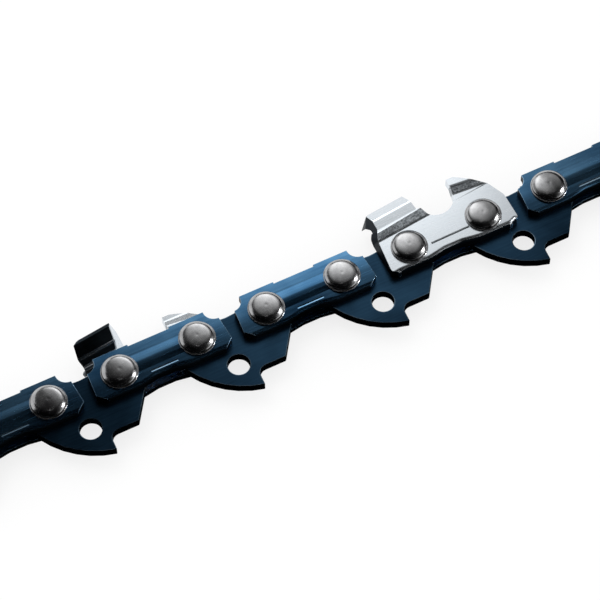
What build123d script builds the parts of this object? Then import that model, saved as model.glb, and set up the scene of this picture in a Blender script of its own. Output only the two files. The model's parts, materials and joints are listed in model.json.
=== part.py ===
import math
import os

from build123d import *

# A low-profile saw chain, riveted into a closed loop and lying on its side.
# Each link is drawn with its rear rivet at the origin, +X the way the chain runs,
# +Y out of the loop towards the teeth and Z along the rivets, then set in its place.

# Loop
cutters_a_side = 7          # left-hand cutters, and as many right-hand ones
straight_pivots = 5         # pivots in line on each side of the middle of a straight run
drive_pitch = 8.85          # rivet to rivet in a drive link
strap_pitch = 9.79          # rivet to rivet in a pair of side plates

# Thicknesses across the chain
gauge = 1.27                # drive link, which runs in the groove of the guide bar
plate = 1.30                # tie strap and cutter plate
side_play = 0.06            # drive link to side plate
pivot_play = 0.05           # rivet to drive link, on the radius

# Rivet
hub_d = 3.40
head_d = 4.40
head_rim = 0.28
head_height = 0.95
head_flat_d = 2.30

# Drive link
lobe_r = 2.50               # round each rivet
lobe_end_angle = 70.0       # where each lobe runs into the hollow top edge
waist_rise = 1.80           # lowest point of the top edge above the rivet line
heel_drop = 2.60            # where the tang leaves the rear lobe
tang_depth = 8.15
tang_tip_x = 4.72
tang_bulge = 1.00           # how far the belly of the tang stands out from its chord
throat_r = 1.05             # round corner behind the hook
throat_x = 4.78             # straight back of the hook
shoulder_drop = 5.93
shoulder_back = 0.40        # shoulder behind the front rivet
toe_ahead = 2.15            # front edge ahead of the front rivet, at the toe
toe_drop = 2.25
oil_hole_d = 2.60
oil_hole_x = 3.10
oil_hole_drop = 4.50

# Tie strap
strap_rise = 2.75           # straight top edge above the rivet line
strap_top_over = 2.10       # top edge beyond each rivet
shoulder_rise = 0.24        # raised stretch of the top edge at each rivet
shoulder_in = 2.30          # how far it runs in from the rivet
scallop_r = 1.32            # round bite out of each upper corner
strap_end_over = 3.66       # blunt end beyond each rivet
strap_end_drop = 1.60
strap_foot_over = 2.50
strap_foot_drop = 2.50
arch_rise = 0.40            # hollow of the bottom edge between the rivets
arch_start = 1.60           # where the hollow starts, from each rivet
rib_width = 1.30
rib_height = 0.24
rib_rise = 0.25             # middle of the rib above the rivet line
rib_taper = 40.0
rib_gap = 0.05              # end of the rib to the rivet's head

# Cutter
cutter_heel_over = 3.35
cutter_heel_drop = 1.95
cutter_front_over = 3.60
cutter_front_rise = 1.45
cutter_front_drop = 2.05
plate_heel = 2.90           # rear edge of the plate at the foot of the tooth
bend_rise = 2.50            # foot of the tooth above the rivet line
tooth_slope = 6.0           # the tooth rises this many degrees towards its cutting edge
tooth_wall = 1.10
tooth_flare = 0.75          # side of the tooth out from the plate
flare_rise = 0.90           # height of the flare above the foot
side_rise = 2.35            # top of the upright side above the foot
crown_rise = 4.05           # top of the chamfered corner above the foot
crown_in = 0.40             # the chamfered corner ends this far inside the plate's face
top_rise = 4.20             # free edge of the top plate above the foot
top_reach = 3.40            # free edge of the top plate from the plate's outer face
tooth_heel = 2.50           # heel of the tooth behind the rear rivet
tooth_front = 2.50          # cutting edge of the top plate ahead of the rear rivet
lip_ahead = 2.90            # lower end of the cutting edge
lip_rise = 3.88
gullet_r = 2.30
gullet_rise = 4.64          # middle of the gullet's round above the rivet line

# Depth gauge in front of the gullet
gauge_front_back = 1.80     # front face behind the front rivet
gauge_bend_rise = 4.00
gauge_slope = -5.0
gauge_flare = 0.50
gauge_flare_rise = 0.85
gauge_top_rise = 6.05
gauge_land = 0.95           # level top
gauge_back_over = 2.60
gauge_back_rise = 3.85

plate_inside = gauge / 2 + side_play
plate_outside = plate_inside + plate
middle_height = plate_outside + head_height
trim_reach = 10.0           # taller than any tooth


def outline(*edges):
    return make_face(Wire(edges))


def polyline_edges(*points):
    return [Line(a, b) for a, b in zip(points, points[1:])]


def prism(sketch, low, high):
    return Pos(0, 0, low) * extrude(sketch, amount=high - low)


def drive_link():
    heel = (-lobe_r, -heel_drop)
    tip = (tang_tip_x, -tang_depth)
    chord = Vector(*tip) - Vector(*heel)
    belly = (Vector(*tip) + Vector(*heel)) / 2 + chord.rotate(Axis.Z, -90).normalized() * tang_bulge
    round_off = throat_r * (1 - math.sqrt(0.5))
    throat_low = (throat_x, -shoulder_drop - throat_r)
    throat_mid = (throat_x + round_off, -shoulder_drop - round_off)
    throat_top = (throat_x + throat_r, -shoulder_drop)
    shoulder = (drive_pitch - shoulder_back, -shoulder_drop)
    toe = (drive_pitch + toe_ahead, -toe_drop)
    nose = (drive_pitch + lobe_r, 0)
    diagonal = lobe_r * math.sqrt(0.5)
    lobe_in = lobe_r * math.cos(math.radians(lobe_end_angle))
    lobe_top = lobe_r * math.sin(math.radians(lobe_end_angle))
    front_lobe_end = (drive_pitch - lobe_in, lobe_top)
    rear_lobe_end = (lobe_in, lobe_top)
    face = outline(
        Line((-lobe_r, 0), heel),
        ThreePointArc(heel, belly, tip),
        Line(tip, throat_low),
        ThreePointArc(throat_low, throat_mid, throat_top),
        *polyline_edges(throat_top, shoulder, toe, nose),
        ThreePointArc(nose, (drive_pitch + diagonal, diagonal), front_lobe_end),
        ThreePointArc(front_lobe_end, (drive_pitch / 2, waist_rise), rear_lobe_end),
        ThreePointArc(rear_lobe_end, (-diagonal, diagonal), (-lobe_r, 0)),
    )
    rivet_hole = Circle(hub_d / 2 + pivot_play)
    face -= rivet_hole
    face -= Pos(drive_pitch, 0) * rivet_hole
    face -= Pos(oil_hole_x, -oil_hole_drop) * Circle(oil_hole_d / 2)
    return prism(face, -gauge / 2, gauge / 2)


def bottom_edges(front_end, rear_end):
    # feet and arched bottom edge of a side plate, from its front end back to its rear end
    front_foot = (strap_pitch + strap_foot_over, -strap_foot_drop)
    rear_foot = (-strap_foot_over, -strap_foot_drop)
    arch_front = (strap_pitch - arch_start, -strap_foot_drop)
    arch_rear = (arch_start, -strap_foot_drop)
    arch_top = (strap_pitch / 2, -strap_foot_drop + arch_rise)
    return [
        *polyline_edges(front_end, front_foot, arch_front),
        ThreePointArc(arch_front, arch_top, arch_rear),
        *polyline_edges(arch_rear, rear_foot, rear_end),
    ]


def tie_strap():
    # lies on z = 0 with its outer face up
    horn = strap_top_over + scallop_r
    horn_rise = strap_rise - scallop_r
    bite = strap_top_over + scallop_r * (1 - math.sqrt(0.5))
    bite_rise = strap_rise - scallop_r * math.sqrt(0.5)
    shoulder_top = strap_rise + shoulder_rise
    rear_end = (-strap_end_over, -strap_end_drop)
    rear_top = (-strap_top_over, strap_rise)
    front_end = (strap_pitch + strap_end_over, -strap_end_drop)
    front_top = (strap_pitch + strap_top_over, strap_rise)
    top_edge = polyline_edges(
        rear_top,
        (-strap_top_over, shoulder_top),
        (shoulder_in, shoulder_top),
        (shoulder_in, strap_rise),
        (strap_pitch - shoulder_in, strap_rise),
        (strap_pitch - shoulder_in, shoulder_top),
        (strap_pitch + strap_top_over, shoulder_top),
        front_top,
    )
    face = outline(
        Line(rear_end, (-horn, horn_rise)),
        ThreePointArc((-horn, horn_rise), (-bite, bite_rise), rear_top),
        *top_edge,
        ThreePointArc(front_top, (strap_pitch + bite, bite_rise), (strap_pitch + horn, horn_rise)),
        Line((strap_pitch + horn, horn_rise), front_end),
        *bottom_edges(front_end, rear_end),
    )
    rib_length = strap_pitch - head_d - 2 * rib_gap
    rib = Pos(strap_pitch / 2, rib_rise, plate) * Rectangle(rib_length, rib_width)
    return prism(face, 0, plate) + extrude(rib, amount=rib_height, taper=rib_taper)


def bent_strip(bends, foot_rise, slope):
    # a strip of tooth_wall along the chain, bent outwards and over at the points (rise, out)
    outer = Polyline((-plate / 2, plate), (0, plate), *bends)
    section = make_face(offset(outer, tooth_wall, side=Side.RIGHT, kind=Kind.INTERSECTION))
    across = Plane(origin=(-trim_reach, foot_rise, 0), x_dir=(0, 1, 0), z_dir=(1, 0, 0))
    return Rot(0, 0, slope) * extrude(across * section, amount=2 * trim_reach)


def above(foot_rise, slope):
    # all of the side view that is above a sloping foot line
    return Rot(0, 0, slope) * Pos(0, foot_rise + trim_reach / 2) * Rectangle(2 * trim_reach, trim_reach)


def cutter():
    # lies on z = 0 with its outer face up, the tooth behind and the depth gauge in front
    gauge_x = strap_pitch - gauge_front_back
    gullet_x = gauge_x - gullet_r
    gullet_drop = gullet_rise - bend_rise - flare_rise
    gullet_start = (gullet_x - math.sqrt(gullet_r ** 2 - gullet_drop ** 2), bend_rise + flare_rise)
    gullet_floor = (gullet_x, gullet_rise - gullet_r)
    heel = (-cutter_heel_over, -cutter_heel_drop)
    front = (strap_pitch + cutter_front_over, -cutter_front_drop)
    tooth_view = polyline_edges(
        heel,
        (-plate_heel, bend_rise),
        (-tooth_heel, bend_rise + flare_rise),
        (-tooth_heel, trim_reach),
        (tooth_front, trim_reach),
        (lip_ahead, lip_rise),
        gullet_start,
    )
    gauge_view = polyline_edges(
        (gauge_x, gullet_rise),
        (gauge_x, gauge_top_rise),
        (gauge_x + gauge_land, gauge_top_rise),
        (strap_pitch + gauge_back_over, gauge_back_rise),
        (strap_pitch + cutter_front_over, cutter_front_rise),
        front,
    )
    view = outline(
        *tooth_view,
        ThreePointArc(gullet_start, gullet_floor, (gauge_x, gullet_rise)),
        *gauge_view,
        *bottom_edges(front, heel),
    )
    tooth_half = view & Pos(gullet_x - trim_reach, 0) * Rectangle(2 * trim_reach, 3 * trim_reach)
    gauge_half = view - tooth_half
    tooth_bends = [
        (flare_rise, plate + tooth_flare),
        (side_rise, plate + tooth_flare),
        (crown_rise, plate - crown_in),
        (top_rise, plate - top_reach),
    ]
    gauge_bends = [
        (gauge_flare_rise, plate + gauge_flare),
        (trim_reach, plate + gauge_flare),
    ]
    at_front = Pos(strap_pitch, 0, 0)
    tooth = bent_strip(tooth_bends, bend_rise, tooth_slope) & prism(tooth_half, -trim_reach, trim_reach)
    gauge_post = at_front * bent_strip(gauge_bends, gauge_bend_rise, gauge_slope)
    gauge_post &= prism(gauge_half, -trim_reach, trim_reach)
    rear_plate = prism(tooth_half - above(bend_rise, tooth_slope), 0, plate)
    front_plate = prism(gauge_half - at_front * above(gauge_bend_rise, gauge_slope), 0, plate)
    return rear_plate + front_plate + tooth + gauge_post


def rivet():
    # hub between the side plates and a head on the outside of each
    profile = make_face(
        Polyline(
            (0, 0),
            (hub_d / 2, 0),
            (hub_d / 2, plate_outside),
            (head_d / 2, plate_outside),
            (head_d / 2, plate_outside + head_rim),
            (head_flat_d / 2, plate_outside + head_height),
            (0, plate_outside + head_height),
            close=True,
        )
    )
    half = revolve(Plane.XZ * profile, Axis.Z)
    return half + mirror(half, Plane.XY)


def side_pair(right_plate, left_plate):
    # the two plates of a side pair, held together for good by their rivets
    right = Pos(0, 0, plate_inside) * right_plate
    left = mirror(Pos(0, 0, plate_inside) * left_plate, Plane.XY)
    pin = rivet()
    return right + left + pin + Pos(strap_pitch, 0, 0) * pin


def inward_bend(pivot):
    # degrees at a pivot, counted from the middle of one straight run: two mirror planes close the loop
    quarter = 2 * cutters_a_side
    step = pivot % (2 * quarter)
    step = min(step, 2 * quarter - 1 - step)
    return 0.0 if step < straight_pivots else 90.0 / (quarter - straight_pivots)


def link_places():
    # rear rivet and heading of every link in turn, side pairs and drive links by turns
    count = 8 * cutters_a_side
    x, y, heading = -strap_pitch / 2, 0.0, 0.0
    places = []
    for number in range(count):
        places.append((x, y, heading))
        length = drive_pitch if number % 2 else strap_pitch
        x += length * math.cos(math.radians(heading))
        y += length * math.sin(math.radians(heading))
        heading -= inward_bend(number)
    across = places[count // 2][1]
    return [(x, y - across / 2, heading) for x, y, heading in places]


strap = tie_strap()
tooth_plate = cutter()
kinds = {
    "tie_straps": side_pair(strap, strap),
    "right_cutter": side_pair(tooth_plate, strap),
    "left_cutter": side_pair(strap, tooth_plate),
    "drive_link": drive_link(),
}
side_pairs = ["tie_straps", "right_cutter", "tie_straps", "left_cutter"]

os.makedirs("parts", exist_ok=True)
made = {kind: 0 for kind in kinds}
for number, (x, y, heading) in enumerate(link_places()):
    kind = "drive_link" if number % 2 else side_pairs[number // 2 % len(side_pairs)]
    made[kind] += 1
    placed = Pos(x, y, middle_height) * Rot(0, 0, heading) * kinds[kind]
    export_step(placed, f"parts/{kind}_{made[kind]:02d}.step")
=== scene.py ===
import json
import math

import bmesh
import bpy
from mathutils import Matrix, Vector

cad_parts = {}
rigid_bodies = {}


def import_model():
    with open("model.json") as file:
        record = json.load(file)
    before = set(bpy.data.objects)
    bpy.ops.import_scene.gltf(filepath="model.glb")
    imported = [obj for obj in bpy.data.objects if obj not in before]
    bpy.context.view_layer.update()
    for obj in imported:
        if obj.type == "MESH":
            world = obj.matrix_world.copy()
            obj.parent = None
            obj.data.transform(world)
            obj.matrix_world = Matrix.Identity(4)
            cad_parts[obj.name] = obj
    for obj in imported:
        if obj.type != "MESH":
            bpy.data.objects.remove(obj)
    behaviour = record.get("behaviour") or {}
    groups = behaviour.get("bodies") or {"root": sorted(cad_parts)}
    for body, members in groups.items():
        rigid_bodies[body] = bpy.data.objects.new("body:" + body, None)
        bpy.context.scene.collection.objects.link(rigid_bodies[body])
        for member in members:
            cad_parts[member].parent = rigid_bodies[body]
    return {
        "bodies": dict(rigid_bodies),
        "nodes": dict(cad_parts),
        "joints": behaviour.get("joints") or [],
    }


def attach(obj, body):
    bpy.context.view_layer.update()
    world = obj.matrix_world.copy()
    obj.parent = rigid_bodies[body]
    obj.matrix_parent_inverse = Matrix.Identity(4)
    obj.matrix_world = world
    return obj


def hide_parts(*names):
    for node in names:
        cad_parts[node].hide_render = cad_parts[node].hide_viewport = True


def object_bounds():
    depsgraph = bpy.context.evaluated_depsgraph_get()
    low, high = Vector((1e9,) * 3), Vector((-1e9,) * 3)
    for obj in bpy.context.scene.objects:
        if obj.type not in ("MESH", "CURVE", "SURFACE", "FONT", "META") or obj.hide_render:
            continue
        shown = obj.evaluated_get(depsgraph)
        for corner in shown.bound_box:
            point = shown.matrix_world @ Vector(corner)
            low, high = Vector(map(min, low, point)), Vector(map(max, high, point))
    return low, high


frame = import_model()
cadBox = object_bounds()
print("frame loaded:", len(frame["nodes"]), "links")

mm = 0.001    # pieces are modelled with one unit to the millimetre, and become metres in their places

# The links in their order round the loop, and where their rivets are

chain = {
    "order": (
        "tie_straps", "drive_link", "right_cutter", "drive_link",
        "tie_straps", "drive_link", "left_cutter", "drive_link",
    ),
    "foldJoint": "loop_fold",    # the pivot right across the loop from this one has no joint
}


def linkNames():
    names, made = [], {}
    for number in range(len(frame["bodies"])):
        kind = chain["order"][number % len(chain["order"])]
        made[kind] = made.get(kind, 0) + 1
        names.append(f"{kind}_{made[kind]:02d}")
    return names


def rivetSpots(names):    # rear and front rivet of every link, in metres
    pivots = {frozenset((joint["parent"], joint["child"])): joint["pos_m"] for joint in frame["joints"]}
    fold = next(joint for joint in frame["joints"] if joint["name"] == chain["foldJoint"])
    foldX, foldY, foldZ = fold["pos_m"]
    openPivot = (-foldX, -foldY, foldZ)
    pairs = zip(names, names[1:] + names[:1])
    fronts = [Vector(pivots.get(frozenset(pair), openPivot)) for pair in pairs]
    rears = fronts[-1:] + fronts[:-1]
    return {name: (rear, front) for name, rear, front in zip(names, rears, fronts)}


names = linkNames()
spots = rivetSpots(names)


def pitchOf(name):    # from rivet to rivet, in mm
    rear, front = spots[name]
    return (front - rear).length / mm


strapPitch = pitchOf("tie_straps_01")
drivePitch = pitchOf("drive_link_01")
middleHeight = spots["tie_straps_01"][0].z / mm

# Thicknesses across the chain

across = {
    "gauge": 1.27,       # drive link
    "plate": 1.30,       # side plates
    "sidePlay": 0.06,
}
plateInside = across["gauge"] / 2 + across["sidePlay"]
plateOutside = plateInside + across["plate"]

# Drawing and shaping

drawing = {
    "arcStep": 9.0,      # degrees to a step of an arc
    "weld": 0.002,       # points closer than this become one
    "near": 0.01,        # points closer than this to a line or level are on it
    "holeSides": 40,
    "reach": 20.0,       # longer than any piece is thick or tall
    "wallLean": 0.5,     # z of a normal: more on the faces of a plate, and less on its walls
    "smooth": 38.0,      # degrees between two faces of a plate that are shaded as one
    "flatness": 90,      # how much its large faces count in the shading of its rounded edges
}
faceSlot, edgeSlot = 0, 1    # a plate's first material is for its faces, and its second for rounded edges, where straps and drive links get a painted edge highlight


def pickOnly(piece):
    bpy.ops.object.select_all(action="DESELECT")
    piece.select_set(True)
    bpy.context.view_layer.objects.active = piece


def arcCentre(start, middle, end):
    a, b, c = (complex(*point) for point in (start, middle, end))
    ratio = (c - a) / (b - a)
    centre = a + (b - a) * (ratio - abs(ratio) ** 2) / (2j * ratio.imag)
    return centre.real, centre.imag


def arcAngle(start, middle, end, centre):
    first = math.atan2(start[1] - centre[1], start[0] - centre[0])
    last = math.atan2(end[1] - centre[1], end[0] - centre[0])
    turn = (middle[0] - start[0]) * (end[1] - middle[1]) - (middle[1] - start[1]) * (end[0] - middle[0])
    sweep = (last - first) % (2 * math.pi)
    return sweep if turn > 0 else sweep - 2 * math.pi


def drawLine(name, start, strokes):    # a stroke is a point, or two points for an arc by way of the first
    bpy.ops.object.select_all(action="DESELECT")
    bpy.ops.mesh.primitive_plane_add(size=1)
    piece = bpy.context.object
    piece.name = name
    bpy.ops.object.mode_set(mode="EDIT")
    bpy.ops.mesh.select_mode(type="VERT")
    bpy.ops.mesh.merge(type="CENTER")
    bpy.ops.transform.translate(value=(*start, 0))
    pen = start
    for stroke in strokes:
        if isinstance(stroke[0], tuple):
            middle, end = stroke
            centre = arcCentre(pen, middle, end)
            sweep = arcAngle(pen, middle, end, centre)
            steps = max(2, round(abs(math.degrees(sweep)) / drawing["arcStep"]))
            bpy.ops.mesh.spin(steps=steps, angle=-sweep, center=(*centre, 0), axis=(0, 0, 1))
        else:
            end = stroke
            step = (end[0] - pen[0], end[1] - pen[1], 0)
            bpy.ops.mesh.extrude_vertices_move(TRANSFORM_OT_translate={"value": step})
        pen = end
    return piece    # still in edit mode


def fillLine():    # closes the drawn line and fills it
    bpy.ops.mesh.select_all(action="SELECT")
    bpy.ops.mesh.remove_doubles(threshold=drawing["weld"])
    bpy.ops.mesh.edge_face_add()


def turnOutwards():    # and ends edit mode
    bpy.ops.mesh.select_all(action="SELECT")
    bpy.ops.mesh.normals_make_consistent(inside=False)
    bpy.ops.object.mode_set(mode="OBJECT")


def thicken(low, high):
    bpy.ops.transform.translate(value=(0, 0, low))
    bpy.ops.mesh.extrude_region_move(TRANSFORM_OT_translate={"value": (0, 0, high - low)})
    turnOutwards()


def pickEdges(piece, wanted):    # in edit mode, the edges that pass the test
    bpy.ops.mesh.select_mode(type="EDGE")
    bpy.ops.mesh.select_all(action="DESELECT")
    shape = bmesh.from_edit_mesh(piece.data)
    for edge in shape.edges:
        edge.select = len(edge.link_faces) == 2 and wanted(edge)
    bmesh.update_edit_mesh(piece.data)


def pickFaces(piece, wanted):    # in edit mode, the faces that pass the test
    bpy.ops.mesh.select_mode(type="FACE")
    bpy.ops.mesh.select_all(action="DESELECT")
    shape = bmesh.from_edit_mesh(piece.data)
    for face in shape.faces:
        face.select = wanted(face)
    bmesh.update_edit_mesh(piece.data)


def bevelEdges(piece, wanted, width, segments, slot=-1):    # without a slot the materials stay as they are
    pickEdges(piece, wanted)
    bpy.ops.mesh.bevel(offset=width, segments=segments, affect="EDGES", material=slot)


def useModifier(piece, kind, **settings):
    pickOnly(piece)
    bpy.ops.object.modifier_add(type=kind)
    modifier = piece.modifiers[-1]
    for setting, value in settings.items():
        setattr(modifier, setting, value)
    bpy.ops.object.modifier_apply(modifier=modifier.name)


def carve(piece, tool, operation="DIFFERENCE"):
    useModifier(piece, "BOOLEAN", object=tool, operation=operation, solver="EXACT")
    bpy.data.objects.remove(tool)


def drill(piece, x, y, diameter):
    bpy.ops.object.select_all(action="DESELECT")
    bpy.ops.mesh.primitive_cylinder_add(
        vertices=drawing["holeSides"], radius=diameter / 2, depth=drawing["reach"], location=(x, y, 0))
    carve(piece, bpy.context.object)


def drillForRivets(piece, pitch, diameter):
    for x in (0, pitch):
        drill(piece, x, 0, diameter)


def setMaterials(piece, *materials):
    for material in materials:
        piece.data.materials.append(material)


def markFaces(piece, material, wanted):    # faces that pass the test take that one of the piece's materials
    slot = piece.data.materials.find(material.name)
    for face in piece.data.polygons:
        if wanted(face):
            face.material_index = slot


def pressLine(piece, start, end, width, depth, height):    # a fine line in a face at that height
    length = math.dist(start, end)
    middle = ((start[0] + end[0]) / 2, (start[1] + end[1]) / 2, height)
    turn = math.atan2(end[1] - start[1], end[0] - start[0])
    bpy.ops.object.select_all(action="DESELECT")
    bpy.ops.mesh.primitive_cylinder_add(
        vertices=4, radius=width / 2, depth=length, location=middle,
        rotation=(0, math.pi / 2, turn), scale=(2 * depth / width, 1, 1))
    tool = bpy.context.object
    # the line's walls take the plate's second material: on a strap a painted highlight
    setMaterials(tool, *piece.data.materials[:edgeSlot + 1])
    for face in tool.data.polygons:
        face.material_index = edgeSlot
    carve(piece, tool)


def roundEdges(piece, width, segments, bluntest):    # all edges from that angle on, in degrees
    # the rounded edges take the second material: on straps and drive links a painted edge highlight
    useModifier(piece, "BEVEL", width=width, segments=segments, limit_method="ANGLE",
                angle_limit=math.radians(bluntest), material=edgeSlot, use_clamp_overlap=True)


def shadeSmooth(piece, sharpest):    # up to that angle between faces, in degrees
    pickOnly(piece)
    bpy.ops.object.shade_smooth_by_angle(angle=math.radians(sharpest))


def shadePlate(piece):
    shadeSmooth(piece, drawing["smooth"])
    useModifier(piece, "WEIGHTED_NORMAL", keep_sharp=True, weight=drawing["flatness"])


def keepPlace(piece, name):    # where each point is on the piece, in mm, for patterns that move with it
    layer = piece.data.attributes.new(name, "FLOAT_VECTOR", "POINT")
    for vertex in piece.data.vertices:
        layer.data[vertex.index].vector = vertex.co


# Materials

def hexColour(code):
    parts = [int(code[i:i + 2], 16) / 255 for i in (1, 3, 5)]
    return (*(p / 12.92 if p <= 0.04045 else ((p + 0.055) / 1.055) ** 2.4 for p in parts), 1.0)


def newMaterial(name):
    material = bpy.data.materials.new(name)
    material.use_nodes = True
    return material, material.node_tree


def addNode(tree, kind, inputs, **settings):
    node = tree.nodes.new(kind)
    for name, value in settings.items():
        setattr(node, name, value)
    for socket, value in inputs.items():
        if isinstance(value, bpy.types.NodeSocket):
            tree.links.new(value, node.inputs[socket])
        else:
            node.inputs[socket].default_value = value
    return node


def compute(tree, operation, *values):
    return addNode(tree, "ShaderNodeMath", dict(enumerate(values)), operation=operation).outputs[0]


def graded(tree, value, places, levels=(0, 1)):    # from one level to the other between two places
    return addNode(tree, "ShaderNodeMapRange", {
        "Value": value, "From Min": places[0], "From Max": places[1],
        "To Min": levels[0], "To Max": levels[1]}).outputs[0]


def noise(tree, where, scale, detail):
    return addNode(tree, "ShaderNodeTexNoise", {
        "Vector": where, "Scale": scale, "Detail": detail}).outputs["Fac"]


def mixColours(tree, share, first, second):
    return addNode(tree, "ShaderNodeMix", {
        "Factor": share, "A": first, "B": second}, data_type="RGBA").outputs["Result"]


def keptPlace(tree, name):    # what keepPlace wrote down
    return addNode(tree, "ShaderNodeAttribute", {}, attribute_name=name).outputs["Vector"]


def restPlace(tree):    # in metres, in the loop
    return addNode(tree, "ShaderNodeTexCoord", {}).outputs["Object"]


reliefDepth = 0.02    # mm, of the patterns on all metals


def finishMetal(tree, colour, dulling, relief):    # patterns, with a range of roughness and with a strength
    dullPattern, rough = dulling
    height, strength = relief
    bump = addNode(tree, "ShaderNodeBump", {
        "Height": height, "Strength": strength, "Distance": reliefDepth * mm})
    shader = tree.nodes["Principled BSDF"]
    tree.links.new(colour, shader.inputs["Base Color"])
    tree.links.new(graded(tree, dullPattern, (0, 1), rough), shader.inputs["Roughness"])
    tree.links.new(bump.outputs[0], shader.inputs["Normal"])
    shader.inputs["Metallic"].default_value = 1.0


bluedSteel = {
    "face": ("#294f70", "#5782a3"),    # heat-blued stamped steel: dark blue with teal and lighter clouds
    "edge": ("#5782a3", "#a3bdd0"),    # lighter on the rounded edges: a painted edge highlight
    "clouds": 7.0,               # mm across a cloud of the bluing
    "cloudDetail": 3.0,
    "grain": 0.22,               # mm across a line of the rolled grain, coarse enough to show
    "grainLength": 4.0,          # mm along it
    "grainDetail": 4.0,
    "grainShare": 0.35,          # how much the grain adds to the clouds
    "contrast": (0.45, 0.95),    # where both together begin and end to be lighter
    "faceRough": (0.18, 0.32),
    "edgeRough": (0.20, 0.30),
    "relief": 0.12,
}


def makeBluedSteel(name, colours, rough):
    d = bluedSteel
    material, tree = newMaterial(name)
    clouds = noise(tree, restPlace(tree), 1 / (d["clouds"] * mm), d["cloudDetail"])
    along = addNode(tree, "ShaderNodeMapping", {
        "Vector": keptPlace(tree, "madeAt"),
        "Scale": (1 / d["grainLength"], 1 / d["grain"], 1 / d["grain"])})
    grain = noise(tree, along.outputs["Vector"], 1.0, d["grainDetail"])
    both = compute(tree, "MULTIPLY_ADD", grain, d["grainShare"], clouds)
    deep, bright = (hexColour(code) for code in colours)
    colour = mixColours(tree, graded(tree, both, d["contrast"]), deep, bright)
    finishMetal(tree, colour, (grain, rough), (grain, d["relief"]))
    return material


driveSteel = {
    "face": ("#182d3f", "#2e4d66"),    # oiled spring steel, blackened in the quench: slate with a blue cast
    # lighter on the rounded edges: a painted edge highlight
    "edge": ("#2e4d66", "#8093a0"),
    "wall": ("#0b1015", "#1c252e"),    # where the press sheared it: rough, and dark as painted shade
    "faceRough": (0.24, 0.40),
    "edgeRough": (0.20, 0.30),
    "wallRough": (0.45, 0.60),
}

chrome = {
    "plate": ("#ced6dd", "#eaf0f5"),     # hard chrome plate over ground steel: pale, with a fine satin
    "inside": ("#23282d", "#3d454c"),    # the inside of the tooth: dark as painted shade
    "pits": "#62676b",           # dark specks where the plating lies on the pressed flare
    "grind": 0.16,               # mm between grinding lines, coarse enough to show
    "grindLength": 1.28,         # mm along one
    "grindTurn": 24.0,           # degrees from the rivet line
    "grindDetail": 3.0,
    "speck": 0.20,               # mm across a speck, coarse enough to show
    "speckDetail": 2.0,
    "speckContrast": (0.30, 0.75),
    "plateRough": (0.17, 0.33),
    "speckRough": (0.35, 0.55),
    "insideRough": (0.25, 0.40),
    "relief": 0.06,
}


def makeChrome(name, speckled):
    d = chrome
    material, tree = newMaterial(name)
    made = keptPlace(tree, "madeAt")
    ground = addNode(tree, "ShaderNodeMapping", {
        "Vector": made, "Rotation": (0, 0, math.radians(d["grindTurn"])),
        "Scale": (1 / d["grindLength"], 1 / d["grind"], 1 / d["grind"])})
    pattern = noise(tree, ground.outputs["Vector"], 1.0, d["grindDetail"])
    dull, bright = (hexColour(code) for code in d["plate"])
    colour = mixColours(tree, pattern, dull, bright)
    rough = d["plateRough"]
    if speckled:
        pattern = noise(tree, made, 1 / d["speck"], d["speckDetail"])
        share = graded(tree, pattern, d["speckContrast"])
        colour = mixColours(tree, share, hexColour(d["pits"]), colour)
        rough = d["speckRough"]
    finishMetal(tree, colour, (pattern, rough), (pattern, d["relief"]))
    return material


rivetSteel = {
    "head": ("#8b8b8d", "#c4c5c6"),    # turned bar steel, head spun over: grey with rings round the middle
    "ring": 0.16,                # mm between the spinning tool's rings, coarse enough to show
    "ringShare": 0.07,           # how much the rings add to the smudges
    "smudge": 0.7,               # mm across one
    "smudgeDetail": 4.0,
    "rough": (0.14, 0.27),
    "relief": 0.05,
}


def makeRivetSteel():
    d = rivetSteel
    material, tree = newMaterial("spunRivetSteel")
    flat = addNode(tree, "ShaderNodeVectorMath", {
        0: keptPlace(tree, "turnedAt"), 1: (1, 1, 0)}, operation="MULTIPLY")
    radius = addNode(tree, "ShaderNodeVectorMath", {0: flat.outputs["Vector"]}, operation="LENGTH")
    turns = compute(tree, "MULTIPLY", radius.outputs["Value"], 2 * math.pi / d["ring"])
    rings = compute(tree, "SINE", turns)
    smudges = noise(tree, restPlace(tree), 1 / (d["smudge"] * mm), d["smudgeDetail"])
    share = compute(tree, "MULTIPLY_ADD", rings, d["ringShare"], smudges)
    deep, bright = (hexColour(code) for code in d["head"])
    colour = mixColours(tree, share, deep, bright)
    finishMetal(tree, colour, (smudges, d["rough"]), (rings, d["relief"]))
    return material


strapFace = makeBluedSteel("bluedStampedSteel", bluedSteel["face"], bluedSteel["faceRough"])
strapEdgeHighlight = makeBluedSteel("bluedSteelPaintedEdgeHighlight", bluedSteel["edge"], bluedSteel["edgeRough"])
driveFace = makeBluedSteel("quenchedSpringSteel", driveSteel["face"], driveSteel["faceRough"])
driveEdgeHighlight = makeBluedSteel("quenchedSteelPaintedEdgeHighlight", driveSteel["edge"], driveSteel["edgeRough"])
wallShade = makeBluedSteel("steelWallPaintedShade", driveSteel["wall"], driveSteel["wallRough"])
chromeFace = makeChrome("hardChromePlate", False)
chromeFlare = makeChrome("hardChromeOnPressedFlare", True)
toothInsideShade = makeBluedSteel("toothInsidePaintedShade", chrome["inside"], chrome["insideRough"])
rivetMetal = makeRivetSteel()
print("materials made")


def markWalls(piece):    # the walls that the press sheared, all round a plate, dark as painted shade
    markFaces(piece, wallShade, lambda face: abs(face.normal.z) < drawing["wallLean"])


# Drive link

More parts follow.
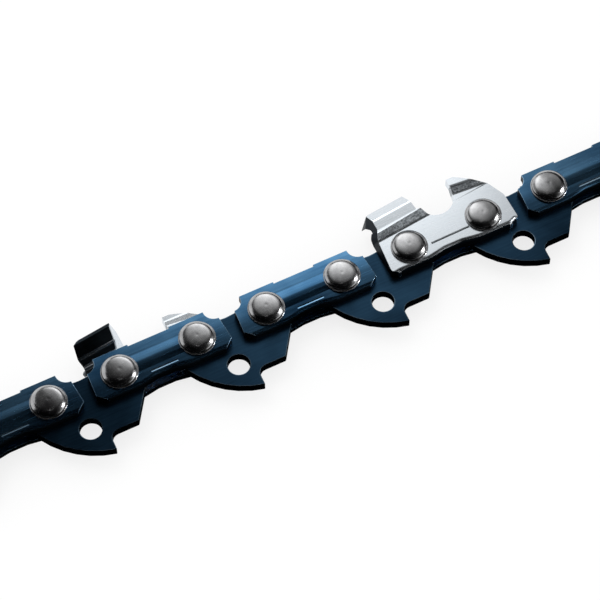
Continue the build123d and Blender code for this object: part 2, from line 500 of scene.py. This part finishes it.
driveLink = {
    "lobe": 2.50,                # round each rivet
    "lobeEnd": 70.0,             # degrees, where each lobe runs into the hollow top edge
    "waist": 1.80,
    "heelDrop": 2.60,
    "tangTip": (4.72, -8.15),
    "tangBulge": 1.00,
    "throat": 1.05,              # round corner behind the hook
    "throatX": 4.78,
    "shoulderDrop": 5.93,
    "shoulderBack": 0.40,
    "toeAhead": 2.15,
    "toeDrop": 2.25,
    "rivetHole": 3.50,
    "oilHole": 2.60,
    "oilHoleAt": (3.10, -4.50),
    "edgeRound": (0.11, 2, 30),  # width, segments, and bluntest edge
}


def modelDriveLink():
    d = driveLink
    heel = (-d["lobe"], -d["heelDrop"])
    tip = d["tangTip"]
    chord = (Vector(tip) - Vector(heel)).normalized()
    middle = (Vector(tip) + Vector(heel)) / 2
    belly = (middle.x + chord.y * d["tangBulge"], middle.y - chord.x * d["tangBulge"])
    cornerRise = d["throat"] * (1 - math.sqrt(0.5))
    throatLow = (d["throatX"], -d["shoulderDrop"] - d["throat"])
    throatMiddle = (d["throatX"] + cornerRise, -d["shoulderDrop"] - cornerRise)
    throatTop = (d["throatX"] + d["throat"], -d["shoulderDrop"])
    diagonal = d["lobe"] * math.sqrt(0.5)
    lobeX = d["lobe"] * math.cos(math.radians(d["lobeEnd"]))
    lobeY = d["lobe"] * math.sin(math.radians(d["lobeEnd"]))
    piece = drawLine("driveLink", (-d["lobe"], 0), [
        heel,
        (belly, tip),
        throatLow,
        (throatMiddle, throatTop),
        (drivePitch - d["shoulderBack"], -d["shoulderDrop"]),
        (drivePitch + d["toeAhead"], -d["toeDrop"]),
        (drivePitch + d["lobe"], 0),
        ((drivePitch + diagonal, diagonal), (drivePitch - lobeX, lobeY)),
        ((drivePitch / 2, d["waist"]), (lobeX, lobeY)),
        ((-diagonal, diagonal), (-d["lobe"], 0)),
    ])
    fillLine()
    thicken(-across["gauge"] / 2, across["gauge"] / 2)
    drillForRivets(piece, drivePitch, d["rivetHole"])
    drill(piece, *d["oilHoleAt"], d["oilHole"])
    setMaterials(piece, driveFace, driveEdgeHighlight, wallShade)
    markWalls(piece)
    roundEdges(piece, *d["edgeRound"])
    shadePlate(piece)
    return piece


# Feet and arched bottom edge, the same on a tie strap and a cutter

sidePlate = {
    "footOver": 2.50,
    "footDrop": 2.50,
    "archRise": 0.40,
    "archStart": 1.60,
    "bottom": -1.90,             # edges below this are rounded as part of the bottom
    "rivetHole": 3.40,
}


def bottomStrokes(rearEnd):    # from the front foot back to the rear end
    d = sidePlate
    return [
        (strapPitch + d["footOver"], -d["footDrop"]),
        (strapPitch - d["archStart"], -d["footDrop"]),
        ((strapPitch / 2, d["archRise"] - d["footDrop"]), (d["archStart"], -d["footDrop"])),
        (-d["footOver"], -d["footDrop"]),
        rearEnd,
    ]


def onBottom(edge):    # along the bottom of the outer face
    level = across["plate"] - drawing["near"]
    return all(v.co.z > level and v.co.y < sidePlate["bottom"] for v in edge.verts)


# Tie strap, its inner face on z = 0

tieStrap = {
    "rise": 2.75,                # top edge between the shoulders
    "shoulder": 0.24,            # raised top edge by each rivet
    "shoulderIn": 2.30,          # how far it runs in from the rivet
    "topOver": 2.10,
    "scallop": 1.32,             # round bite out of each upper corner
    "endOver": 3.66,
    "endDrop": 1.60,
    "rib": (1.90, 0.70, 0.17),   # widths at its foot and top, and height, of the pressed rib
    "ribRise": 0.25,
    "ribRound": (0.30, 3),       # width and segments
    "line": (3.3, 3.1, -1.45),   # the pressed line: from the rear and front rivets, and height
    "lineSize": (0.36, 0.05),    # its width and depth
    "lineMargin": 0.03,          # its edges are no further off than this
    "bottomRound": (0.50, 6),
    "edgeRound": (0.38, 3, 40),  # width, segments, and bluntest edge
    "crown": (0.028, 0.35),      # how fast its face falls away each side of that height
    "crownStrips": 8,
}


def modelTieStrap():
    d = tieStrap
    topRise = d["rise"] + d["shoulder"]
    horn = d["topOver"] + d["scallop"]
    hornRise = d["rise"] - d["scallop"]
    bite = d["topOver"] + d["scallop"] * (1 - math.sqrt(0.5))
    biteRise = d["rise"] - d["scallop"] * math.sqrt(0.5)
    rearEnd = (-d["endOver"], -d["endDrop"])
    piece = drawLine("tieStrap", rearEnd, [
        (-horn, hornRise),
        ((-bite, biteRise), (-d["topOver"], d["rise"])),
        (-d["topOver"], topRise),
        (d["shoulderIn"], topRise),
        (d["shoulderIn"], d["rise"]),
        (strapPitch - d["shoulderIn"], d["rise"]),
        (strapPitch - d["shoulderIn"], topRise),
        (strapPitch + d["topOver"], topRise),
        (strapPitch + d["topOver"], d["rise"]),
        ((strapPitch + bite, biteRise), (strapPitch + horn, hornRise)),
        (strapPitch + d["endOver"], -d["endDrop"]),
        *bottomStrokes(rearEnd),
    ])
    fillLine()
    thicken(0, across["plate"])
    setMaterials(piece, strapFace, strapEdgeHighlight, wallShade)
    markWalls(piece)
    bpy.ops.object.mode_set(mode="EDIT")
    bevelEdges(piece, onBottom, *d["bottomRound"])
    bpy.ops.object.mode_set(mode="OBJECT")
    roundEdges(piece, *d["edgeRound"])
    crownFace(piece)
    carve(piece, modelRib(), "UNION")
    pressCrispLine(piece)
    drillForRivets(piece, strapPitch, sidePlate["rivetHole"])
    shadePlate(piece)
    return piece


def crownDrop(y):
    fall, middle = tieStrap["crown"]
    return fall * (y - middle) ** 2


def crownFace(piece):    # the press leaves the face slightly domed
    d = tieStrap
    low, high = -sidePlate["footDrop"], d["rise"] + d["shoulder"]
    pickOnly(piece)
    bpy.ops.object.mode_set(mode="EDIT")
    for strip in range(1, d["crownStrips"]):
        level = low + (high - low) * strip / d["crownStrips"]
        bpy.ops.mesh.select_all(action="SELECT")
        bpy.ops.mesh.bisect(plane_co=(0, level, 0), plane_no=(0, 1, 0))
    shape = bmesh.from_edit_mesh(piece.data)
    for vertex in shape.verts:
        if vertex.co.z > across["plate"] / 2:
            vertex.co.z -= crownDrop(vertex.co.y)
    bmesh.update_edit_mesh(piece.data)
    bpy.ops.object.mode_set(mode="OBJECT")


def modelRib():    # runs from rivet to rivet, half sunk in the strap
    d = tieStrap
    foot, top, height = d["rib"]
    sunk = 2 * foot - top    # its slanted sides go on below the face
    bpy.ops.object.select_all(action="DESELECT")
    bpy.ops.mesh.primitive_cube_add(size=1)
    rib = bpy.context.object
    bpy.ops.object.mode_set(mode="EDIT")
    bpy.ops.transform.resize(value=(strapPitch - sidePlate["rivetHole"] / 2, sunk, 2 * height))
    bpy.ops.transform.translate(value=(strapPitch / 2, d["ribRise"], across["plate"]))
    pickFaces(rib, lambda face: face.normal.z > drawing["wallLean"])
    bpy.ops.transform.resize(value=(1, top / sunk, 1))
    bevelEdges(rib, lambda edge: all(v.co.z > across["plate"] for v in edge.verts)
               and abs(edge.verts[0].co.y - edge.verts[1].co.y) < drawing["near"], *d["ribRound"])
    bpy.ops.object.mode_set(mode="OBJECT")
    setMaterials(rib, strapFace)
    return rib


def pressCrispLine(piece):
    d = tieStrap
    rearGap, frontGap, rise = d["line"]
    width, depth = d["lineSize"]
    rear, front = rearGap, strapPitch - frontGap
    level = across["plate"] - crownDrop(rise)
    pressLine(piece, (rear, rise), (front, rise), width, depth, level)

    def inLine(at):
        return (rear - d["lineMargin"] < at.x < front + d["lineMargin"]
                and abs(at.y - rise) < width / 2 + d["lineMargin"]
                and abs(at.z - level) < depth + d["lineMargin"])

    bpy.ops.object.mode_set(mode="EDIT")
    pickEdges(piece, lambda edge: all(inLine(v.co) for v in edge.verts))
    bpy.ops.mesh.mark_sharp()
    bpy.ops.object.mode_set(mode="OBJECT")


# Cutter, bent up from one sheet whose outer face starts at z = plate

cutter = {
    "heel": (-3.35, -1.95),
    "heelTop": (-2.90, 2.50),
    "toothHeel": -2.50,
    "toothFront": 2.50,
    "lip": (2.90, 3.88),         # lower end of the cutting edge
    "gullet": (2.30, 4.64),      # radius, and middle above the rivet line
    "foot": 2.50,                # fold at the foot of the tooth
    "slope": 6.0,                # degrees that its folds rise to the front
    "bends": ((0.90, 0.75), (2.35, 0.88), (4.05, -0.40)),    # rise above the foot, and out from the plate
    "slantFrom": 0.30,           # above the foot, both ends of the tooth slant back to the inside
    "rearBack": (0.40, 0.80),    # how far its rear end does, on the side and on top
    "frontBack": (               # and its filed front end: rise above the foot, and how far
        (1.40, 1.80), (1.98, 1.20), (2.84, 0.95), (3.05, 0.12),
    ),
    "topThin": 0.85,             # how much thinner the top plate gets towards its free edge
    "topEdge": (4.20, -2.90),    # free edge of the top plate
    "topEdgeNear": 0.20,         # points of the inner wall this near to it are on its edge
    "edgeBack": 0.75,            # how far the cutting edge runs back to it
    "gaugeBack": 1.80,           # rear face of the depth gauge behind the front rivet
    "gaugeTop": 6.05,
    "gaugeLand": 0.95,
    "gaugeFoot": 4.00,
    "gaugeSlope": -5.0,
    "gaugeBends": ((0.85, 0.50), (9.00, 0.50)),
    "shoulder": (2.60, 3.70),    # ahead of the front rivet
    "frontOver": 3.60,
    "frontRise": 1.45,
    "frontDrop": 2.05,
    "sheet": 1.25,
    "flareLean": (-0.75, -0.35),    # y of the normals on the pressed flares
    "frontFacing": 0.3,          # x of the normals, at least, on a front end
    "rearFacing": -0.6,          # and at most on a rear end
    "foldAngles": (0.3, 1.2),    # radians between the faces at a fold, and more at a corner of the sheet
    "foldRound": (0.20, 3),      # width and segments
    "bottomRound": (0.55, 4),
    "bottomRear": -3.00,         # the bottom edge is rounded as far back as this
    "edgeRound": (0.10, 2, 50),  # width, segments, and bluntest edge
    "line": ((2.55, -0.70), (7.57, -0.61)),    # ends of the pressed line
    "lineSize": (0.28, 0.14),    # its width and depth
}


def foldHeight(at, foot, slope, pivotX):    # above a fold that passes over pivotX at the foot's height
    angle = math.radians(slope)
    return at.y * math.cos(angle) - (at.x - pivotX) * math.sin(angle) - foot


def toothHeight(at):
    return foldHeight(at, cutter["foot"], cutter["slope"], 0)


def onTopPlate(at):    # above the side of the tooth
    return toothHeight(at) > cutter["bends"][1][0]


def between(height, steps):    # in straight lines from nothing at the foot, by way of heights and values
    low, first = 0.0, 0.0
    for high, last in steps:
        if height <= high:
            return first + (last - first) * max(height - low, 0) / (high - low)
        low, first = high, last
    return first


def foldSheet(piece, wanted, foot, slope, pivotX, bends):    # cuts fold lines, then bends the sheet at them
    angle = math.radians(slope)
    upwards = Vector((-math.sin(angle), math.cos(angle), 0))
    for rise in [0.0] + [bend[0] for bend in bends]:
        pickFaces(piece, lambda face: wanted(face.calc_center_median()))
        place = Vector((pivotX, 0, across["plate"])) + upwards * (foot + rise)
        bpy.ops.mesh.bisect(plane_co=place, plane_no=upwards)
    shape = bmesh.from_edit_mesh(piece.data)
    for vertex in shape.verts:
        if wanted(vertex.co):
            vertex.co.z += between(foldHeight(vertex.co, foot, slope, pivotX), bends)
    bmesh.update_edit_mesh(piece.data)


def modelCutter():
    d = cutter
    radius, gulletRise = d["gullet"]
    gaugeX = strapPitch - d["gaugeBack"]
    gulletX = gaugeX - radius
    angle = math.radians(d["slope"])
    flareTop = d["foot"] + d["bends"][0][0]
    crownRise = d["bends"][-1][0]
    gulletStart = (gulletX - math.sqrt(radius ** 2 - (gulletRise - flareTop) ** 2), flareTop)

    def crownAt(x):    # top of the chamfered corner in the side view
        return (d["foot"] + crownRise + x * math.sin(angle)) / math.cos(angle)

    piece = drawLine("cutter", d["heel"], [
        d["heelTop"],
        (d["toothHeel"], flareTop),
        (d["toothHeel"], crownAt(d["toothHeel"])),
        (d["toothFront"], crownAt(d["toothFront"])),
        d["lip"],
        gulletStart,
        ((gulletX, gulletRise - radius), (gaugeX, gulletRise)),
        (gaugeX, d["gaugeTop"]),
        (gaugeX + d["gaugeLand"], d["gaugeTop"]),
        (strapPitch + d["shoulder"][0], d["shoulder"][1]),
        (strapPitch + d["frontOver"], d["frontRise"]),
        (strapPitch + d["frontOver"], -d["frontDrop"]),
        *bottomStrokes(d["heel"]),
    ])
    fillLine()
    bpy.ops.transform.translate(value=(0, 0, across["plate"]))
    bpy.ops.mesh.select_all(action="SELECT")
    bpy.ops.mesh.bisect(plane_co=(gulletX, 0, 0), plane_no=(1, 0, 0))
    foldSheet(piece, lambda at: at.x < gulletX, d["foot"], d["slope"], 0, d["bends"])
    foldSheet(piece, lambda at: at.x > gulletX, d["gaugeFoot"], d["gaugeSlope"], strapPitch, d["gaugeBends"])
    foldTopPlate(piece, crownAt)
    turnOutwards()
    setMaterials(piece, chromeFace, chromeFace, chromeFlare, toothInsideShade, wallShade)
    markFlares(piece)
    outside = len(piece.data.vertices)    # the inner wall's points come after these
    useModifier(piece, "SOLIDIFY", thickness=d["sheet"], offset=-1, use_even_offset=True)
    slantEnds(piece, outside, gulletX)
    markInside(piece, outside, gulletX)
    roundFolds(piece)
    markFaces(piece, wallShade,    # all of the rear end, round the folds too, takes the painted shade of the walls
              lambda face: face.normal.x < d["rearFacing"] and face.center.x < gulletX)
    roundEdges(piece, *d["edgeRound"])
    pressLine(piece, *d["line"], *d["lineSize"], across["plate"])
    drillForRivets(piece, strapPitch, sidePlate["rivetHole"])
    shadePlate(piece)
    return piece


def foldTopPlate(piece, crownAt):    # the sheet's upper edge runs on across the chain
    d = cutter
    bpy.ops.mesh.select_mode(type="EDGE")
    bpy.ops.mesh.select_all(action="DESELECT")
    shape = bmesh.from_edit_mesh(piece.data)
    for edge in shape.edges:
        edge.select = all(abs(v.co.y - crownAt(v.co.x)) < drawing["near"] for v in edge.verts)
    bmesh.update_edit_mesh(piece.data)
    crownRise, crownOut = d["bends"][-1]
    rise, out = d["topEdge"]
    bpy.ops.mesh.extrude_edges_move(TRANSFORM_OT_translate={"value": (0, rise - crownRise, out - crownOut)})
    shape = bmesh.from_edit_mesh(piece.data)
    foremost = max((v for v in shape.verts if v.select), key=lambda v: v.co.x)
    foremost.co.x -= d["edgeBack"]
    bmesh.update_edit_mesh(piece.data)


def markFlares(piece):    # the pressed flares are speckled
    low, high = cutter["flareLean"]
    markFaces(piece, chromeFlare,
              lambda face: face.normal.z > drawing["wallLean"] and low < face.normal.y < high)


def slantEnds(piece, outside, gulletX):    # moves the inner wall's points
    d = cutter
    angle = math.radians(d["slope"])
    back = Vector((math.cos(angle), math.sin(angle), 0))
    freeEdge = across["plate"] + d["topEdge"][1]
    sideBack, topBack = d["rearBack"]
    for vertex in piece.data.vertices[outside:]:
        height = toothHeight(vertex.co)
        if vertex.co.x > gulletX or height < d["slantFrom"]:
            continue
        if vertex.co.x > 0:    # the tooth stands over the rear rivet
            vertex.co -= back * between(height, d["frontBack"])
        else:
            vertex.co -= back * (topBack if onTopPlate(vertex.co) else sideBack)
        if abs(vertex.co.z - freeEdge) < d["topEdgeNear"]:
            vertex.co.y += d["topThin"]


def markInside(piece, outside, gulletX):    # the inner wall, and the rim between it and the outer one; inside the tooth and on the rim they take painted shade
    d = cutter

    def inTooth(face):
        return face.center.x < gulletX and toothHeight(face.center) > 0

    def isInner(face):
        return all(number >= outside for number in face.vertices)

    def isShadedRim(face):    # other rim faces take painted shade; the filed front end of the tooth and the rear face of the gauge stay bright
        isRim = any(number >= outside for number in face.vertices) and not isInner(face)
        if inTooth(face):
            return isRim and face.normal.x <= d["frontFacing"]
        return isRim and (face.center.x <= gulletX or face.normal.x >= d["rearFacing"])

    markFaces(piece, chromeFace, isInner)
    markFaces(piece, wallShade, isShadedRim)
    markFaces(piece, toothInsideShade, lambda face: inTooth(face) and (
        isInner(face) or isShadedRim(face) and onTopPlate(face.center)))


def roundFolds(piece):    # and the bottom edge
    d = cutter
    bluntest, sharpest = d["foldAngles"]
    bpy.ops.object.mode_set(mode="EDIT")
    bevelEdges(piece, lambda edge: bluntest < edge.calc_face_angle() < sharpest, *d["foldRound"], faceSlot)
    bevelEdges(piece, lambda edge: onBottom(edge) and all(v.co.x > d["bottomRear"] for v in edge.verts)
               and edge.calc_face_angle() > sharpest, *d["bottomRound"])
    bpy.ops.object.mode_set(mode="OBJECT")


# Rivet, standing on the middle of the chain

rivet = {
    "hub": 3.40,
    "rim": 4.40,
    "rimHeight": 0.22,
    "rimRound": 0.09,
    "head": 4.06,
    "groove": (0.06, 0.12),      # width and depth of the line between head and rim
    "dome": (2.60, 9.00),        # diameter of the dome on top, and the radius it is round to
    "domeSteps": 5,
    "shoulderEnd": 48.0,         # degrees, how steep the head gets before its upright wall
    "dimple": (0.36, 0.010),     # diameter and depth of the mark in its middle
    "steps": 44,
    "smooth": 30.0,              # degrees between two faces that are shaded as one
}


def modelRivet():
    d = rivet
    top = middleHeight
    base = plateOutside
    rimTop = base + d["rimHeight"]
    domeR, ballR = d["dome"][0] / 2, d["dome"][1]
    headR, rimR, hubR = d["head"] / 2, d["rim"] / 2, d["hub"] / 2
    dimpleR, dimpleDepth = d["dimple"][0] / 2, d["dimple"][1]
    rimRound = d["rimRound"]
    corner = rimRound * (1 - math.sqrt(0.5))

    def ballAt(r):
        return top - ballR + math.sqrt(ballR ** 2 - r ** 2)

    # The shoulder goes on where the dome ends, without a kink
    lean = math.asin(domeR / ballR)
    last = math.radians(d["shoulderEnd"])
    half = (lean + last) / 2
    shoulder = (headR - domeR) / (math.sin(last) - math.sin(lean))
    shoulderX = headR - shoulder * math.sin(last)
    shoulderZ = ballAt(domeR) - shoulder * math.cos(lean)
    grooveWide, grooveDeep = d["groove"]
    domeRs = [dimpleR + (domeR - dimpleR) * step / d["domeSteps"] for step in range(d["domeSteps"] + 1)]
    piece = drawLine("rivet", (0, top - dimpleDepth), [
        (dimpleR / 2, top - dimpleDepth),
        *((r, ballAt(r)) for r in domeRs),
        ((shoulderX + shoulder * math.sin(half), shoulderZ + shoulder * math.cos(half)),
         (headR, shoulderZ + shoulder * math.cos(last))),
        (headR, rimTop - grooveDeep),
        (headR + grooveWide / 2, rimTop - grooveDeep),
        (headR + grooveWide, rimTop),
        (rimR - rimRound, rimTop),
        ((rimR - corner, rimTop - corner), (rimR, rimTop - rimRound)),
        (rimR, base),
        (hubR, base),
        (hubR, 0),
    ])
    bpy.ops.mesh.select_all(action="SELECT")
    bpy.ops.mesh.spin(steps=d["steps"], angle=2 * math.pi, center=(0, 0, 0), axis=(0, 1, 0))
    bpy.ops.mesh.select_all(action="SELECT")
    bpy.ops.mesh.remove_doubles(threshold=drawing["weld"])
    bpy.ops.transform.rotate(value=-math.pi / 2, orient_axis="X", center_override=(0, 0, 0))    # head up
    bpy.ops.object.mode_set(mode="OBJECT")
    useModifier(piece, "MIRROR", use_axis=(False, False, True), use_mirror_merge=True,
                merge_threshold=drawing["weld"])
    bpy.ops.object.mode_set(mode="EDIT")
    turnOutwards()
    setMaterials(piece, rivetMetal)
    shadeSmooth(piece, d["smooth"])
    keepPlace(piece, "turnedAt")
    return piece


# Setting the pieces together

def copied(piece, place, name):
    copy = piece.copy()
    copy.data = piece.data.copy()
    copy.data.transform(place)
    copy.name = name
    bpy.context.scene.collection.objects.link(copy)
    return copy


def shifted(piece, x, z, name):
    return copied(piece, Matrix.Translation((x, 0, z)), name)


def farSide(piece, name):    # the same piece on the other side of the chain
    copy = shifted(piece, 0, 0, name)
    pickOnly(copy)
    bpy.ops.object.mode_set(mode="EDIT")
    bpy.ops.mesh.select_all(action="SELECT")
    bpy.ops.transform.resize(value=(1, 1, -1), center_override=(0, 0, 0))
    turnOutwards()
    shadePlate(copy)
    return copy


def joined(name, *pieces):
    bpy.ops.object.select_all(action="DESELECT")
    for piece in pieces:
        piece.select_set(True)
    bpy.context.view_layer.objects.active = pieces[0]
    bpy.ops.object.join()
    pieces[0].name = name
    return pieces[0]


driveLinkModel = modelDriveLink()
print("drive link modelled:", len(driveLinkModel.data.polygons), "faces")
strapModel = modelTieStrap()
print("tie strap modelled:", len(strapModel.data.polygons), "faces")
cutterModel = modelCutter()
print("cutter modelled:", len(cutterModel.data.polygons), "faces")
rivetModel = modelRivet()
print("rivet modelled:", len(rivetModel.data.polygons), "faces")

nearStrap = shifted(strapModel, 0, plateInside, "nearStrap")
farStrap = farSide(nearStrap, "farStrap")
nearCutter = shifted(cutterModel, 0, plateInside, "nearCutter")
farCutter = farSide(nearCutter, "farCutter")
tieStraps = joined("bothStraps", shifted(nearStrap, 0, 0, "nearHalf"), shifted(farStrap, 0, 0, "farHalf"))
rivets = joined("bothRivets", shifted(rivetModel, 0, 0, "rearRivet"),
                shifted(rivetModel, strapPitch, 0, "frontRivet"))
plates = [driveLinkModel, nearStrap, farStrap, nearCutter, farCutter, tieStraps]
for plate in plates:
    keepPlace(plate, "madeAt")

# What each kind of link is dressed with: model, name of the piece, and the record's slot

dress = {
    "drive_link": [
        (driveLinkModel, "driveLink", "dark_drive_link_steel"),
    ],
    "tie_straps": [
        (tieStraps, "tieStraps", "blued_strap_steel"),
        (rivets, "tieRivets", None),
    ],
    "right_cutter": [
        (nearCutter, "rightCutter", "chrome_cutter"),
        (farStrap, "rightBackStrap", "blued_strap_steel"),
        (rivets, "rightRivets", None),
    ],
    "left_cutter": [
        (farCutter, "leftCutter", "chrome_cutter"),
        (nearStrap, "leftBackStrap", "blued_strap_steel"),
        (rivets, "leftRivets", None),
    ],
}


def setInPlace(name):
    kind, number = name.rsplit("_", 1)
    rear, front = spots[name]
    way = front - rear
    place = (Matrix.Translation(rear) @ Matrix.Rotation(math.atan2(way.y, way.x), 4, "Z")
             @ Matrix.Scale(mm, 4))
    for model, label, slot in dress[kind]:
        piece = copied(model, place, f"{label}_{number}")
        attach(piece, name)
        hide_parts(name)


for name in names:
    setInPlace(name)
for model in (*plates, rivets, strapModel, cutterModel, rivetModel):
    bpy.data.objects.remove(model)
print("links dressed:", len(names))

# Camera, floor and light, in metres where no other unit is given

studio = {
    "aimX": -1.02,           # mm, middle of the picture on the photographed run
    "aimBack": 0.93,         # mm, from its rivet line towards the tangs
    "aimUp": 0.45,           # mm, above the plates' faces
    "turn": -26.52,          # degrees, where the camera stands round the chain
    "tilt": 60.0,            # degrees, and how high
    "away": 324.8,           # mm
    "focal": 2811.9,         # in pixels of a picture that is this wide
    "picture": 600,
    "sensor": 36.0,          # mm
    "clipStart": 0.01,
}


def towards(turn, tilt):
    a, e = math.radians(turn), math.radians(tilt)
    return Vector((math.sin(a) * math.cos(e), -math.cos(a) * math.cos(e), math.sin(e)))


def lookingBack(side):    # how a camera or lamp is turned that stands on that side
    return (-side).to_track_quat("-Z", "Y").to_euler()


run = spots["tie_straps_01"][0]
aim = Vector((studio["aimX"] * mm, run.y - studio["aimBack"] * mm,
              run.z + (plateOutside + studio["aimUp"]) * mm))


def placeCamera():
    d = studio
    side = towards(d["turn"], d["tilt"])
    bpy.ops.object.camera_add(location=aim + side * d["away"] * mm)
    camera = bpy.context.object
    camera.name = "photoCamera"
    camera.rotation_euler = lookingBack(side)
    camera.data.sensor_width = d["sensor"]
    camera.data.lens = d["focal"] / d["picture"] * d["sensor"]
    camera.data.clip_start = d["clipStart"]
    bpy.context.scene.camera = camera


def makeWorld():
    world = bpy.data.worlds.new("whiteStudio")
    bpy.context.scene.world = world
    world.use_nodes = True
    background = world.node_tree.nodes["Background"]
    background.inputs["Color"].default_value = (1, 1, 1, 1)
    background.inputs["Strength"].default_value = 1.0


def bareMaterial(name):    # without a shader yet
    material, tree = newMaterial(name)
    tree.nodes.remove(tree.nodes["Principled BSDF"])
    return material, tree


def whiteGlow(tree, strength):
    return addNode(tree, "ShaderNodeEmission", {"Color": (1, 1, 1, 1), "Strength": strength}).outputs[0]


def useSurface(tree, surface):
    tree.links.new(surface, tree.nodes["Material Output"].inputs["Surface"])


paleFloor = {
    "size": 8.0,
    "white": "#fbfbfb",
    "glow": 0.78,            # share of the floor's white that isn't lit by lamps
}


def shownRays(tree):    # 1 for what the camera sees, straight or in metal
    path = addNode(tree, "ShaderNodeLightPath", {})
    seen = compute(tree, "MAXIMUM", path.outputs["Is Camera Ray"], path.outputs["Is Glossy Ray"])
    return compute(tree, "MAXIMUM", seen, path.outputs["Is Transmission Ray"])


def makeFloor():
    d = paleFloor
    bpy.ops.mesh.primitive_plane_add(size=d["size"], location=(0, 0, cadBox[0].z))
    floor = bpy.context.object
    floor.name = "paleFloor"
    material, tree = bareMaterial("palePaper")
    lit = addNode(tree, "ShaderNodeBsdfDiffuse", {"Color": hexColour(d["white"])})
    share = compute(tree, "MULTIPLY", shownRays(tree), d["glow"])
    mixed = addNode(tree, "ShaderNodeMixShader", {0: share, 1: lit.outputs[0], 2: whiteGlow(tree, 1.0)})
    useSurface(tree, mixed.outputs[0])
    setMaterials(floor, material)


keyLamp = {
    "from": (-150, 70),      # degrees, as for the camera
    "away": 1.1,
    "size": 0.5,
    "watts": 2.0,
}


def makeKeyLamp():
    d = keyLamp
    side = towards(*d["from"])
    bpy.ops.object.light_add(type="AREA", location=aim + side * d["away"])
    lamp = bpy.context.object
    lamp.name = "key"
    lamp.rotation_euler = lookingBack(side)
    lamp.data.size = d["size"]
    lamp.data.energy = d["watts"]
    lamp.visible_glossy = False    # metal shows the softbox instead


def onlyInMetal(prop):    # seen in reflections and nowhere else
    prop.visible_camera = False
    prop.visible_diffuse = False
    prop.visible_shadow = False


def layPlane(name, middle, wide, deep):
    bpy.ops.mesh.primitive_plane_add(size=1)
    plane = bpy.context.object
    plane.name = name
    plane.data.transform(Matrix.Translation(middle) @ Matrix.Diagonal((wide, deep, 1, 1)))
    return plane


softbox = {
    "back": (0.002, 0.150),      # from the rivet line, low over the chain, where the flat plates mirror it
    "sides": (-0.060, 0.090),
    "up": 0.06,
    "along": ((-0.024, 0.022), (0.06, 1.25)),    # left to the cutter: two places, and how bright there
    "ending": ((0.042, 0.056), (1.00, 0.25)),    # dimmer again towards its right end
    "deep": ((0.012, 0.060), (0.12, 2.00)),      # from the front to the rear
}


def makeSoftbox():
    d = softbox
    near, far = d["back"]
    left, right = d["sides"]
    middle = ((left + right) / 2, aim.y + (near + far) / 2, d["up"])
    box = layPlane("softbox", middle, right - left, far - near)
    material, tree = bareMaterial("softboxCloth")
    parts = addNode(tree, "ShaderNodeSeparateXYZ", {0: restPlace(tree)})
    back = compute(tree, "SUBTRACT", parts.outputs["Y"], aim.y)
    along = graded(tree, parts.outputs["X"], *d["along"])
    ending = graded(tree, parts.outputs["X"], *d["ending"])
    sideways = compute(tree, "MULTIPLY", along, ending)
    level = compute(tree, "MULTIPLY", sideways, graded(tree, back, *d["deep"]))
    useSurface(tree, whiteGlow(tree, level))
    setMaterials(box, material)
    onlyInMetal(box)


glint = {
    "from": (72, 33),        # on the right: the white spot on each rivet
    "away": 0.6,
    "size": 0.11,
    "strength": 40.0,
}


def makeGlint():
    d = glint
    side = towards(*d["from"])
    bpy.ops.mesh.primitive_plane_add(size=d["size"])
    card = bpy.context.object
    card.name = "glintCard"
    card.data.transform(Matrix.Translation(aim + side * d["away"])
                        @ side.to_track_quat("Z", "Y").to_matrix().to_4x4())
    material, tree = bareMaterial("glintCloth")
    useSurface(tree, whiteGlow(tree, d["strength"]))
    setMaterials(card, material)
    onlyInMetal(card)


tent = {
    "radius": 0.9,
    "segments": 72,
    "rings": 45,
    "turns": (-140, 180),    # degrees: black cloth all round but at the left rear
    "tilts": (5, 90),
    "windows": ((25, 75, 28), (-140, -112, 35)),    # open between two turns, up to a tilt, for other views
    "velvet": "#050506",
    "cloth": (0.16, 0.085),  # and on the floor in front of the photographed run, that wide and deep
    "clothGap": -0.004,      # from the rivet line to it
    "clothUp": 0.0002,
}


def makeVelvet():
    material, tree = newMaterial("blackVelvet")
    shader = tree.nodes["Principled BSDF"]
    shader.inputs["Base Color"].default_value = hexColour(tent["velvet"])
    shader.inputs["Roughness"].default_value = 1.0
    shader.inputs["Specular IOR Level"].default_value = 0.0
    return material


def isOpen(at):    # no cloth hangs there
    x, y, z = at / tent["radius"]
    first, last = tent["turns"]
    low, high = tent["tilts"]
    turn = (math.degrees(math.atan2(x, -y)) - first) % 360 + first
    tilt = math.degrees(math.asin(z))
    inWindow = any(left < turn < right and tilt < top for left, right, top in tent["windows"])
    return inWindow or not (turn < last and low < tilt < high)


def makeTent():
    d = tent
    velvet = makeVelvet()
    bpy.ops.mesh.primitive_uv_sphere_add(segments=d["segments"], ring_count=d["rings"], radius=d["radius"])
    cloth = bpy.context.object
    cloth.name = "blackTent"
    bpy.ops.object.mode_set(mode="EDIT")
    pickFaces(cloth, lambda face: isOpen(face.calc_center_median()))
    bpy.ops.mesh.delete(type="FACE")
    bpy.ops.object.mode_set(mode="OBJECT")
    setMaterials(cloth, velvet)
    onlyInMetal(cloth)
    wide, deep = d["cloth"]
    middle = (0, aim.y - d["clothGap"] - deep / 2, cadBox[0].z + d["clothUp"])
    front = layPlane("frontCloth", middle, wide, deep)
    setMaterials(front, velvet)
    onlyInMetal(front)


placeCamera()
makeWorld()
makeFloor()
makeKeyLamp()
makeSoftbox()
makeGlint()
makeTent()
bpy.context.scene.view_settings.view_transform = "Standard"
print("stage set")
